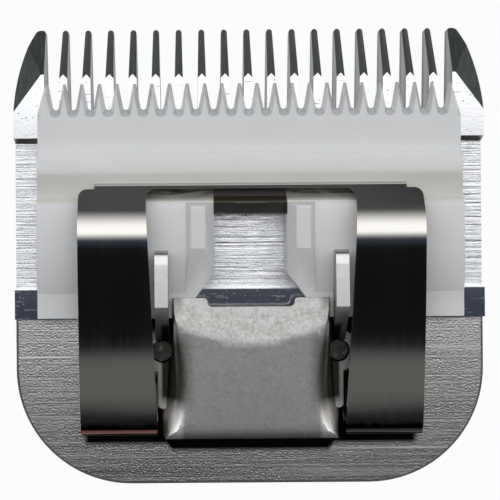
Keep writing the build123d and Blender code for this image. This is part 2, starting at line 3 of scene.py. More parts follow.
import bmesh
import bpy
from bpy.props import FloatProperty, FloatVectorProperty, PointerProperty
from mathutils import Matrix, Vector


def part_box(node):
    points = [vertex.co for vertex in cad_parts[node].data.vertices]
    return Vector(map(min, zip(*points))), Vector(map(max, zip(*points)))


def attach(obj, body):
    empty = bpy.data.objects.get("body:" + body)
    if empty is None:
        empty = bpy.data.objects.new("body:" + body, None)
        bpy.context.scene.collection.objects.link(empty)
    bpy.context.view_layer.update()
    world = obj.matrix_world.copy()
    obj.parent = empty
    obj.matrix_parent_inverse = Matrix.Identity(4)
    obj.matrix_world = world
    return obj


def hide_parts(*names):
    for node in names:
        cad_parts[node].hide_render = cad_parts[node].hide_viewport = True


bl_info = {
    "name": "Clipper Blade Set",
    "version": (1, 1, 0),
    "blender": (4, 5, 0),
    "location": "3D View > Sidebar > Blade",
    "description": "Dresses a detachable clipper blade set in its real finishes on a small studio stage",
    "category": "Object",
}

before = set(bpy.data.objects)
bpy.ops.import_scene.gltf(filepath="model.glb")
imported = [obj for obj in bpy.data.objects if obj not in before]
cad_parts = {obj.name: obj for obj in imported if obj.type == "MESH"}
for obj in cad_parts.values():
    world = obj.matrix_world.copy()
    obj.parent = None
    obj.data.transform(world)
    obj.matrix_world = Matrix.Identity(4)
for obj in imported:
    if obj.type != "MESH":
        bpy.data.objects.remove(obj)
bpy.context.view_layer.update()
SCREW_LOW, SCREW_HIGH = (Vector(corner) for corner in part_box("screws"))
MM = 0.001

# The comb's ground zones, in millimetres: their heights and the margin on them, where the slots between the
# teeth start, and the front wall of the groove
LAND_Z = 5.0
PLATE_Z = 4.0
GROOVE_Z = 3.4
ZONE_MARGIN = 0.02
SLOT_Y = 13.5
GROOVE_WALL_Y = 11.8
GROOVE_WALL_RUN = 0.3

# Parts of a normal at which a face counts as level, as sloped and as the side of a slot
FLAT_FACE = 0.98
SLOPE_LOW = 0.2
SLOT_FACE = 0.9

# Places on the cutter, in millimetres: the spring's lip and the warm tint ahead of it, the rise behind it,
# the roots of the gullets, the drive slot and the rounded fall at the rear
LIP_Y = 6.65
LIP_HALF = 15.6
TINT_FRONT_Y = 9.4
TINT_FULL_Y = 7.6
RISE_Y = 5.35
GULLET_Y = 13.6
ROOT_FACE = 0.35
SLOT_HALF = 3.75
SLOT_WALL_Y = 4.0
FALL_FRONT_Y = 0.8
FALL_REAR_Y = -3.8
FALL_RADIUS = 14.48
FALL_TOP_Z = 8.06
RIDGE_TOP_Z = 7.6
# How far the rounded ridge leans to the front, in degrees, at each y from its rear to its front
RIDGE_LEANS = ((7.8, -15), (8.6, 12), (9.5, 35), (10.4, 4))

# The spring's crest, in millimetres: its top and radius, and where it eases into the arms, with the lean
# that it has there
CREST_Y = 2.0
CREST_RADIUS = 4.5
CREST_FRONT_Y = 4.57
CREST_LOW_Z = 9.5
EASE_FRONT_Y = 2.4
EASE_REAR_Y = -0.9
EASE_REAR_LEAN = math.radians(-4.4)
EASE_CUTS = 12

# Faces counted as upward, and as level from side to side
UPWARD = 0.7
SKEW = 0.2

# Cleaning a node's mesh: corners closer than this, in millimetres, are one, and faces that meet at less than
# the first angle are one face, and at more than the second have an edge between them
MERGE_GAP = 0.002
FLAT_ANGLE = math.radians(0.05)
EDGE_ANGLE = math.radians(30)

# Where the spring's rear bend turns down, and how far the painted shadow reaches on the plate from there, in
# millimetres
REAR_BEND_Y = -17.3
SHADOW_REAR_Y = -19.65
SHADOW_HALF = 17.0
SHADOW_SOCKET_HALF = 8.3
SHADOW_SOCKET_REACH = 0.67

# The socket's walls, from the shoulder down to the foot, and its ears, in millimetres
SHOULDER_X = 7.1
SHOULDER_Z = 8.6
SHOULDER_FRONT_Y = -7.0
CORNER_Y = -16.1
ROOF_REAR_Y = -17.15
ROOF_FACES_Y = -16.95
ROOF_LOW_Z = 8.1
ROOF_DEPTH = 1.4
ROOF_LEAN = math.radians(-28)
FOOT_X = 9.05
EAR_X = 8.3
EAR_Y = -9.5
EAR_Z = 7.6
EAR_TOP_Z = 10.4
EAR_REAR_Y = -5.2
EAR_FLAT_Y = -1.0
EAR_NOSE_Y = -0.55
EAR_FRONT_Y = -0.24
EAR_FLAT_LEAN = math.radians(3.2)
EAR_NOSE_LEAN = math.radians(9.5)

# The screws: corners round head, core and thread, how far the slot's cutter runs over the head, the thread's
# tooth as a share of its pitch, the room at each end of the thread in teeth, and the broken edges in metres
HEAD_SIDES = 48
SHANK_SIDES = 32
THREAD_SIDES = 6
SLOT_OVERRUN = 1.2
TOOTH_SHARE = 0.3
THREAD_CLEAR = 1.1
SCREW_EDGE = 0.06 * MM

# The photograph: the pixel straight below the lens, the pixel of the origin, and the scale at the land
IMAGE_PIXELS = 500
NADIR_PIXEL = (188.0, 240.0)
ORIGIN_PIXEL = (249.5, 254.4)
PIXEL_MM = 0.1021
CAMERA_REACH = 150.0
CAMERA_ROLL = math.radians(-0.42)
SENSOR_MM = 36.0

# The floor: half its width and the gap that keeps it off the skin side, in metres, its colour, how white it
# is to the lens and in reflections, the share of that left at contact and how far it takes to come back
FLOOR_HALF = 1.5
FLOOR_GAP = 0.02 * MM
FLOOR_COLOUR = (0.8, 0.8, 0.8)
FLOOR_WHITE = 0.96
CONTACT_SHARE = 0.35
CONTACT_NEAR = 0.3 * MM
CONTACT_FAR = 2.5 * MM

# The lights round the blade: a colour each, and ramps that are multiplied. A ramp goes by the lean from the
# zenith to the front, or by the angle to either side: from one angle to another, in degrees, and from one
# strength to another
STUDIO = (
    # A broad softbox from the zenith down to the front, brightest high up and fading towards its foot
    ("#ffffff", (("lean", -2.2, 9.0, 0.0, 1.0), ("lean", 18, 70, 1.9, 0.1), ("side", 40, 65, 1.0, 0.0))),
    # Two smaller ones low down, left and right ahead of the teeth
    ("#ffffff", (("lean", 25, 45, 0.0, 1.2), ("side", 42, 58, 0.0, 1.0), ("lean", 56, 70, 1.0, 0.0),
                 ("side", 80, 90, 1.0, 0.0))),
    # A dim grey panel behind, with black between it and the softbox
    ("#ffffff", (("lean", -25.8, -23.2, 0.19, 0.008), ("lean", -34.8, -31.2, 0.08, 1.0))),
    # Some fill low down at the sides
    ("#ffffff", (("side", 70, 84, 0.0, 0.35), ("lean", 60, 84, 1.0, 0.0))),
    # A dark blue glow round the zenith
    ("#2f3544", (("lean", -8, -3, 0.05, 1.1), ("lean", 10, 30, 1.0, 0.3))),
)

# Inputs of the Map Range node: a value, the two ends of its range, and what they turn into
VALUE, LOW, HIGH, START, END = range(5)
# Inputs of the colour Mix node: the share of the second colour, and the two colours
SHARE, FIRST, SECOND = 0, 6, 7


def linear(code):
    """An sRGB hex code as a linear colour."""
    channels = [int(code[i:i + 2], 16) / 255 for i in (1, 3, 5)]
    return [c / 12.92 if c <= 0.04045 else ((c + 0.055) / 1.055) ** 2.4 for c in channels]


def feed(tree, node, inputs):
    """Sets a node's inputs to values, or links them to a socket or to the shown output of another node."""
    for key, value in inputs.items():
        socket = node.inputs[key]
        if isinstance(value, bpy.types.Node):
            value = next(output for output in value.outputs if output.enabled)
        if isinstance(value, bpy.types.NodeSocket):
            tree.links.new(value, socket)
        elif socket.type == "RGBA" and len(value) == 3:
            socket.default_value = (*value, 1)
        else:
            socket.default_value = value


def add(tree, kind, inputs=None, **settings):
    """A new node with its settings and its inputs."""
    made = tree.nodes.new(kind)
    for name, value in settings.items():
        setattr(made, name, value)
    feed(tree, made, inputs or {})
    return made


def start_material(name, **sockets):
    """A material with a principled shader set up by socket name, and its coordinates in millimetres."""
    material = bpy.data.materials.new(name)
    material.use_nodes = True
    tree = material.node_tree
    tree.nodes.clear()
    shader = add(tree, "ShaderNodeBsdfPrincipled",
                 {key.replace("_", " ").title(): value for key, value in sockets.items()})
    add(tree, "ShaderNodeOutputMaterial", {"Surface": shader})
    place = add(tree, "ShaderNodeTexCoord")
    place = add(tree, "ShaderNodeVectorMath", {0: place.outputs["Object"], "Scale": 1 / MM},
                operation="SCALE")
    return material, tree, shader, place


class BladeFinish(bpy.types.PropertyGroup):
    """Colours and edge sizes of the finishes."""
    steel_colour: FloatVectorProperty(
        name="Steel", description="Colour of the comb's ground steel", subtype="COLOR", size=3,
        default=linear("#d8d9db"))
    plate_colour: FloatVectorProperty(
        name="Plate", description="Colour of the brushed steel of the rear plate", subtype="COLOR", size=3,
        default=linear("#e4e2de"))
    # Painted shade: the bevels' steel is coloured dark for the dark front that they mirror
    shaded_bevel_colour: FloatVectorProperty(
        name="Bevels", description="Colour of the dark steel of the tooth bevels", subtype="COLOR", size=3,
        default=linear("#525555"))
    ceramic_colour: FloatVectorProperty(
        name="Ceramic", description="Colour of the cutter's white ceramic", subtype="COLOR", size=3,
        default=linear("#f2f3f4"))
    spring_colour: FloatVectorProperty(
        name="Spring", description="Colour of the polished spring steel", subtype="COLOR", size=3,
        default=linear("#bdbbb6"))
    socket_colour: FloatVectorProperty(
        name="Socket", description="Colour of the tumbled steel of the socket", subtype="COLOR", size=3,
        default=linear("#b8b7b5"))
    screw_colour: FloatVectorProperty(
        name="Screws", description="Colour of the blackened steel of the screws", subtype="COLOR", size=3,
        default=linear("#4a4845"))
    steel_edge: FloatProperty(
        name="Steel edge", description="Width of the broken edges on the steel pieces", subtype="DISTANCE",
        unit="LENGTH", default=0.05 * MM)
    ceramic_edge: FloatProperty(
        name="Ceramic edge", description="Width of the rounded edges on the cutter", subtype="DISTANCE",
        unit="LENGTH", default=0.07 * MM)


class ScrewSizes(bpy.types.PropertyGroup):
    """Sizes of the two screws that their box does not give."""
    head_height: FloatProperty(
        name="Head height", description="Height of the flat head", subtype="DISTANCE", unit="LENGTH",
        default=1.3 * MM)
    slot_width: FloatProperty(
        name="Slot width", description="Width of the driver slot", subtype="DISTANCE", unit="LENGTH",
        default=0.6 * MM)
    slot_depth: FloatProperty(
        name="Slot depth", description="Depth of the driver slot", subtype="DISTANCE", unit="LENGTH",
        default=0.7 * MM)
    thread_diameter: FloatProperty(
        name="Thread diameter", description="Diameter over the thread", subtype="DISTANCE", unit="LENGTH",
        default=2.2 * MM)
    thread_pitch: FloatProperty(
        name="Thread pitch", description="Rise of the thread in one turn", subtype="DISTANCE", unit="LENGTH",
        default=0.45 * MM)


def finish_mesh(piece, edge, segments):
    """Rounds a piece's sharp edges, evens out its shading and leaves it as a plain mesh in metres."""
    rough_mesh = piece.data
    for face in rough_mesh.polygons:
        face.use_smooth = True
    bevel = piece.modifiers.new("edges", "BEVEL")
    bevel.width = edge / MM
    bevel.segments = segments
    bevel.limit_method = "ANGLE"
    bevel.angle_limit = EDGE_ANGLE
    even = piece.modifiers.new("shading", "WEIGHTED_NORMAL")
    even.keep_sharp = True
    ready = bpy.data.meshes.new_from_object(piece.evaluated_get(bpy.context.evaluated_depsgraph_get()))
    piece.modifiers.clear()
    piece.data = ready
    ready.transform(Matrix.Scale(MM, 4))
    ready.name = piece.name
    bpy.data.meshes.remove(rough_mesh)


def dressed(node, body, edge, segments, cuts=()):
    """A finished copy of a node: doubles merged, flat faces joined, cut across at each y, edges rounded."""
    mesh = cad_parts[node].data.copy()
    mesh.materials.clear()
    mesh.transform(Matrix.Scale(1 / MM, 4))
    shape = bmesh.new()
    shape.from_mesh(mesh)
    bmesh.ops.remove_doubles(shape, verts=shape.verts, dist=MERGE_GAP)
    bmesh.ops.dissolve_limit(shape, angle_limit=FLAT_ANGLE, verts=shape.verts, edges=shape.edges)
    for y in cuts:
        bmesh.ops.bisect_plane(shape, geom=[*shape.verts, *shape.edges, *shape.faces], plane_co=(0, y, 0),
                               plane_no=(0, 1, 0))
    shape.to_mesh(mesh)
    shape.free()
    piece = bpy.data.objects.new(node + "_dressed", mesh)
    bpy.context.scene.collection.objects.link(piece)
    finish_mesh(piece, edge, segments)
    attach(piece, body)
    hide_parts(node)
    return piece


def shade_along(mesh, low, high, lean):
    """Shades the upward facets in a box of y and z, in millimetres, as a curve with a lean at each y."""
    normals = [corner.vector.copy() for corner in mesh.corner_normals]
    for face in mesh.polygons:
        y, z = face.center.yz / MM
        inside = low[0] < y < high[0] and low[1] < z < high[1]
        if inside and face.normal.z > UPWARD and abs(face.normal.x) < SKEW:
            for corner in face.loop_indices:
                angle = lean(mesh.vertices[mesh.loops[corner].vertex_index].co.y / MM)
                normals[corner] = Vector((0, math.sin(angle), math.cos(angle)))
    mesh.normals_split_custom_set(normals)


def fall_lean(y):
    """How far the cutter's surface leans to the front in the arc behind its plateau."""
    return -math.asin((FALL_FRONT_Y - y) / FALL_RADIUS)


def ridge_lean(y):
    """How far the cutter's surface leans to the front over the ridge ahead of the spring's lip."""
    for (rear, rear_lean), (front, front_lean) in zip(RIDGE_LEANS, RIDGE_LEANS[1:]):
        if y <= front:
            break
    share = min(max((y - rear) / (front - rear), 0), 1)
    return math.radians(rear_lean + (front_lean - rear_lean) * share)


def roof_lean(y):
    """How far the socket's roof leans to the front where it rounds down at the rear."""
    return ROOF_LEAN * max(0.0, (ROOF_REAR_Y - y) / ROOF_DEPTH) ** 2


def ear_lean(y):
    """How far the top of an ear leans to the front, more so behind its rounded nose."""
    share = min(max((y - EAR_FLAT_Y) / (EAR_NOSE_Y - EAR_FLAT_Y), 0), 1)
    return EAR_FLAT_LEAN + (EAR_NOSE_LEAN - EAR_FLAT_LEAN) * share


def crest_lean(y):
    """How far the spring's surface leans to the front over its crest, which eases into the arms."""
    if y > EASE_FRONT_Y:
        return math.asin((y - CREST_Y) / CREST_RADIUS)
    front = math.asin((EASE_FRONT_Y - CREST_Y) / CREST_RADIUS)
    share = (EASE_FRONT_Y - y) / (EASE_FRONT_Y - EASE_REAR_Y)
    return front + (EASE_REAR_LEAN - front) * (1 - (1 - share) ** 3)


def paint(piece, materials, zone):
    """Gives each face the material that the zone rule names for its middle and its normal."""
    names = list(materials)
    for material in materials.values():
        piece.data.materials.append(material)
    for face in piece.data.polygons:
        face.material_index = names.index(zone(face.center / MM, face.normal))


def curled_marks(tree, place, spacing, width):
    """Share of thin curled scratches, broken off at random, with their spacing and width in millimetres."""
    wander = add(tree, "ShaderNodeTexNoise", {"Vector": place, "Scale": 0.9, "Detail": 2.0})
    bent = add(tree, "ShaderNodeVectorMath", {0: wander.outputs["Color"], 1: (1.5, 1.5, 0), 2: place},
               operation="MULTIPLY_ADD")
    cells = add(tree, "ShaderNodeTexVoronoi", {"Vector": bent, "Scale": 1 / spacing},
                feature="DISTANCE_TO_EDGE")
    line = add(tree, "ShaderNodeMapRange", {VALUE: cells, LOW: width / spacing, HIGH: 0.4 * width / spacing})
    broken = add(tree, "ShaderNodeMapRange", {VALUE: wander, LOW: 0.52, HIGH: 0.58})
    return add(tree, "ShaderNodeMath", {0: line, 1: broken}, operation="MULTIPLY")


def lapped_steel(finish):
    """Lapped hardened steel of the land and rail: a near mirror, broken by pits and stray fine scratches."""
    material, tree, shader, place = start_material("lapped_steel", metallic=1.0)
    # Pits about 0.1 mm across scatter light: grey on a bright reflection, pale on a dark one
    cells = add(tree, "ShaderNodeTexVoronoi", {"Vector": place, "Scale": 2.6})
    pick = add(tree, "ShaderNodeSeparateColor", {0: cells.outputs["Color"]})
    reach = add(tree, "ShaderNodeMapRange", {VALUE: pick.outputs[0], LOW: 0.45, HIGH: 1.0, START: 0.0,
                                             END: 0.24})
    pits = add(tree, "ShaderNodeMath", {0: reach, 1: cells.outputs["Distance"]}, operation="SUBTRACT")
    pits = add(tree, "ShaderNodeMapRange", {VALUE: pits, LOW: 0.0, HIGH: 0.05})
    level = add(tree, "ShaderNodeTexNoise", {"Vector": place, "Scale": 3.0, "Detail": 3.0})
    # Scratches a few millimetres long, at a slant to the stroke
    turn = add(tree, "ShaderNodeMapping", {"Vector": place, "Rotation": (0, 0, 0.5),
                                           "Scale": (0.35, 7.0, 1.0)})
    lines = add(tree, "ShaderNodeTexNoise", {"Vector": turn, "Scale": 1.0, "Detail": 2.0})
    lines = add(tree, "ShaderNodeMapRange", {VALUE: lines, LOW: 0.66, HIGH: 0.72})
    marks = add(tree, "ShaderNodeMath", {0: pits, 1: lines}, operation="MAXIMUM")
    rough = add(tree, "ShaderNodeMapRange", {VALUE: marks, START: 0.09, END: 0.60})
    feed(tree, shader, {"Roughness": rough})
    body = add(tree, "ShaderNodeMix", {SHARE: marks, FIRST: finish.steel_colour, SECOND: linear("#8e9094")},
               data_type="RGBA")
    feed(tree, shader, {"Base Color": body})
    bump = add(tree, "ShaderNodeBump", {"Height": level, "Strength": 0.25, "Distance": 0.01 * MM})
    feed(tree, shader, {"Normal": bump})
    return material


def brushed_steel(name, colour, rough, spacing, depth, grit, curls=0.0, painted_shadow=False):
    """Surface-ground steel: straight fine lines along the blade, with some deeper bright scratches."""
    material, tree, shader, place = start_material(name, metallic=1.0)
    # Lines are drawn a few times coarser than real grit so that they show in the image
    stretch = add(tree, "ShaderNodeMapping", {"Vector": place, "Scale": (0.008 / spacing, 1 / spacing, 1.0)})
    lines = add(tree, "ShaderNodeTexNoise", {"Vector": stretch, "Scale": 1.0, "Detail": 5.0,
                                             "Roughness": 0.7})
    shift = add(tree, "ShaderNodeMapping", {"Vector": place, "Scale": (0.02, 3.4, 1.0),
                                            "Location": (7.0, 3.0, 0)})
    cuts = add(tree, "ShaderNodeTexNoise", {"Vector": shift, "Scale": 1.0, "Detail": 3.0, "Roughness": 0.6})
    scratch = add(tree, "ShaderNodeMapRange", {VALUE: cuts, LOW: 0.63, HIGH: 0.70})
    if curls:
        curl = curled_marks(tree, place, spacing=1.3, width=0.06)
        curl = add(tree, "ShaderNodeMath", {0: curl, 1: curls}, operation="MULTIPLY")
        scratch = add(tree, "ShaderNodeMath", {0: scratch, 1: curl}, operation="MAXIMUM")
    body = add(tree, "ShaderNodeMix", {SHARE: scratch, FIRST: colour, SECOND: linear("#f2f3f4")},
               data_type="RGBA")
    if painted_shadow:
        # Painted shadow: a dark strip on the plate behind the spring's rear bend and the socket, where they
        # shade it
        x, y = add(tree, "ShaderNodeSeparateXYZ", {0: place}).outputs[:2]
        x = add(tree, "ShaderNodeMath", {0: x}, operation="ABSOLUTE")
        middle = add(tree, "ShaderNodeMapRange", {VALUE: x, LOW: SHADOW_SOCKET_HALF + 0.3,
                                                  HIGH: SHADOW_SOCKET_HALF - 0.3})
        reach = add(tree, "ShaderNodeMath", {0: middle, 1: SHADOW_SOCKET_REACH, 2: y}, operation="MULTIPLY_ADD")
        behind = add(tree, "ShaderNodeMapRange", {VALUE: reach, LOW: SHADOW_REAR_Y, HIGH: SHADOW_REAR_Y + 0.5})
        beside = add(tree, "ShaderNodeMapRange", {VALUE: x, LOW: SHADOW_HALF + 0.3, HIGH: SHADOW_HALF - 0.3})
        darkening = add(tree, "ShaderNodeMath", {0: behind, 1: beside}, operation="MULTIPLY")
        body = add(tree, "ShaderNodeMix", {SHARE: darkening, FIRST: body, SECOND: linear("#141416")},
                   data_type="RGBA")
    feed(tree, shader, {"Base Color": body})
    spread = add(tree, "ShaderNodeMapRange", {VALUE: lines, LOW: 0.3, HIGH: 0.7, START: rough - 0.07,
                                              END: rough + 0.07})
    blur = add(tree, "ShaderNodeMath", {0: scratch, 1: 0.2, 2: spread}, operation="MULTIPLY_ADD")
    feed(tree, shader, {"Roughness": blur})
    grain = add(tree, "ShaderNodeTexNoise", {"Vector": place, "Scale": 5.0, "Detail": 2.0})
    height = add(tree, "ShaderNodeMath", {0: grain, 1: grit, 2: lines}, operation="MULTIPLY_ADD")
    bump = add(tree, "ShaderNodeBump", {"Height": height, "Strength": 1.0, "Distance": depth * MM})
    feed(tree, shader, {"Normal": bump})
    return material


def side_steel(finish):
    """Ground steel of the sides and the skin side: fine satin, with faint cloudy wear."""
    material, tree, shader, place = start_material("ground_side_steel", metallic=1.0)
    cloud = add(tree, "ShaderNodeTexNoise", {"Vector": place, "Scale": 1.2, "Detail": 4.0})
    rough = add(tree, "ShaderNodeMapRange", {VALUE: cloud, LOW: 0.3, HIGH: 0.7, START: 0.20, END: 0.30})
    feed(tree, shader, {"Roughness": rough})
    feed(tree, shader, {"Base Color": finish.steel_colour})
    return material


def shaded_bevel_steel(finish):
    """Tooth bevels and chamfers, given a dark steel colour as painted shade for the dark front that they
    mirror: satin, almost even, with paler rubbed grain.
    """
    material, tree, shader, place = start_material("bevel_steel_painted_shade", metallic=1.0)
    stretch = add(tree, "ShaderNodeMapping", {"Vector": place, "Scale": (3.0, 0.35, 0.35)})
    grain = add(tree, "ShaderNodeTexNoise", {"Vector": stretch, "Scale": 1.4, "Detail": 4.0})
    share = add(tree, "ShaderNodeMapRange", {VALUE: grain, LOW: 0.35, HIGH: 0.75})
    body = add(tree, "ShaderNodeMix", {SHARE: share, FIRST: finish.shaded_bevel_colour, SECOND: linear("#626565")},
               data_type="RGBA")
    feed(tree, shader, {"Base Color": body})
    rough = add(tree, "ShaderNodeMapRange", {VALUE: grain, LOW: 0.3, HIGH: 0.7, START: 0.40, END: 0.50})
    feed(tree, shader, {"Roughness": rough})
    return material


def white_ceramic(finish):
    """Zirconia, pressed and fired white: satin, faintly cloudy, with a warm tint and a painted shadow at the
    spring's lip.
    """
    material, tree, shader, place = start_material("fired_white_ceramic", roughness=0.36,
                                                   subsurface_weight=0.25, subsurface_scale=0.6 * MM)
    feed(tree, shader, {"Subsurface Radius": (1.0, 0.95, 0.9)})
    cloud = add(tree, "ShaderNodeTexNoise", {"Vector": place, "Scale": 0.35, "Detail": 3.0})
    body = add(tree, "ShaderNodeMix", {SHARE: cloud, FIRST: finish.ceramic_colour, SECOND: linear("#edeeed")},
               data_type="RGBA")
    x, y = add(tree, "ShaderNodeSeparateXYZ", {0: place}).outputs[:2]
    x = add(tree, "ShaderNodeMath", {0: x}, operation="ABSOLUTE")
    under = add(tree, "ShaderNodeMapRange", {VALUE: x, LOW: LIP_HALF - 0.2, HIGH: LIP_HALF + 0.6,
                                             START: 1.0, END: 0.0})
    # A warm, slightly darker tint lies on the ridge and in the valley ahead of the lip
    ahead = add(tree, "ShaderNodeMapRange", {VALUE: y, LOW: TINT_FRONT_Y, HIGH: TINT_FULL_Y, START: 0.0,
                                             END: 0.8})
    behind = add(tree, "ShaderNodeMapRange", {VALUE: y, LOW: RISE_Y - 0.4, HIGH: RISE_Y + 0.1})
    darkening = add(tree, "ShaderNodeMath", {0: ahead, 1: behind}, operation="MULTIPLY")
    body = add(tree, "ShaderNodeMix", {SHARE: darkening, FIRST: body, SECOND: linear("#dddcd4")}, data_type="RGBA")
    # Painted shadow: the crevice behind the lip, up to the rise, is coloured dark brown where the lip shades
    # it
    near = add(tree, "ShaderNodeMapRange", {VALUE: y, LOW: RISE_Y + 0.1, HIGH: RISE_Y + 0.85})
    far = add(tree, "ShaderNodeMapRange", {VALUE: y, LOW: LIP_Y + 0.15, HIGH: LIP_Y - 0.1})
    ragged = add(tree, "ShaderNodeMapping", {"Vector": place, "Scale": (0.5, 3.0, 1.0)})
    ragged = add(tree, "ShaderNodeTexNoise", {"Vector": ragged, "Scale": 1.0, "Detail": 4.0})
    ragged = add(tree, "ShaderNodeMapRange", {VALUE: ragged, LOW: 0.3, HIGH: 0.6, START: 0.55, END: 1.0})
    lip_shadow = add(tree, "ShaderNodeMath", {0: near, 1: far}, operation="MULTIPLY")
    lip_shadow = add(tree, "ShaderNodeMath", {0: lip_shadow, 1: ragged}, operation="MULTIPLY")
    lip_shadow = add(tree, "ShaderNodeMath", {0: lip_shadow, 1: under}, operation="MULTIPLY")
    # and the painted shadow runs down the front wall of the drive slot, which lies in shade
    between = add(tree, "ShaderNodeMapRange", {VALUE: x, LOW: SLOT_HALF, HIGH: SLOT_HALF - 0.1})
    wall = add(tree, "ShaderNodeMapRange", {VALUE: y, LOW: SLOT_WALL_Y, HIGH: SLOT_WALL_Y + 0.1})
    wall = add(tree, "ShaderNodeMath", {0: wall, 1: far}, operation="MULTIPLY")
    wall = add(tree, "ShaderNodeMath", {0: wall, 1: between}, operation="MULTIPLY")
    lip_shadow = add(tree, "ShaderNodeMath", {0: lip_shadow, 1: wall}, operation="MAXIMUM")
    body = add(tree, "ShaderNodeMix", {SHARE: lip_shadow, FIRST: body, SECOND: linear("#3b362b")},
               data_type="RGBA")
    feed(tree, shader, {"Base Color": body})
    return material


def gullet_shade_ceramic():
    """Zirconia ground with diamond in the gullets: duller than the fired skin, with a greyer colour that is
    painted shade for the shaded gullet roots.
    """
    material, tree, shader, place = start_material("gullet_ceramic_painted_shade", roughness=0.55,
                                                   subsurface_weight=0.2, subsurface_scale=0.4 * MM)
    grain = add(tree, "ShaderNodeTexNoise", {"Vector": place, "Scale": 2.5, "Detail": 3.0})
    body = add(tree, "ShaderNodeMix", {SHARE: grain, FIRST: linear("#c2c5c7"), SECOND: linear("#d0d3d4")},
               data_type="RGBA")
    feed(tree, shader, {"Base Color": body})
    return material


def spring_steel(finish):
    """Polished strip of spring steel: a dark mirror with faint draw lines along the arms."""
    material, tree, shader, place = start_material("polished_spring_steel", metallic=1.0)
    stretch = add(tree, "ShaderNodeMapping", {"Vector": place, "Scale": (2.6, 0.05, 0.05)})
    lines = add(tree, "ShaderNodeTexNoise", {"Vector": stretch, "Scale": 1.0, "Detail": 4.0,
                                             "Roughness": 0.6})
    rough = add(tree, "ShaderNodeMapRange", {VALUE: lines, LOW: 0.3, HIGH: 0.7, START: 0.07, END: 0.11})
    feed(tree, shader, {"Roughness": rough})
    # Painted reflection: the tight bend at the rear is coloured dark on the right arm and reddish brown on
    # the left, for the dark and reddish surroundings that it mirrors
    x, y = add(tree, "ShaderNodeSeparateXYZ", {0: place}).outputs[:2]
    ragged = add(tree, "ShaderNodeTexNoise", {"Vector": stretch, "Scale": 0.6, "Detail": 3.0})
    edge = add(tree, "ShaderNodeMath", {0: ragged, 1: 0.7, 2: y}, operation="MULTIPLY_ADD")
    share = add(tree, "ShaderNodeMapRange", {VALUE: edge, LOW: REAR_BEND_Y + 0.9, HIGH: REAR_BEND_Y + 0.5})
    left = add(tree, "ShaderNodeMapRange", {VALUE: x, LOW: 0.1, HIGH: -0.1})
    darkening = add(tree, "ShaderNodeMix", {SHARE: left, FIRST: linear("#211f1e"), SECOND: linear("#5a3a32")},
               data_type="RGBA")
    body = add(tree, "ShaderNodeMix", {SHARE: share, FIRST: finish.spring_colour, SECOND: darkening},
               data_type="RGBA")
    feed(tree, shader, {"Base Color": body})
    return material


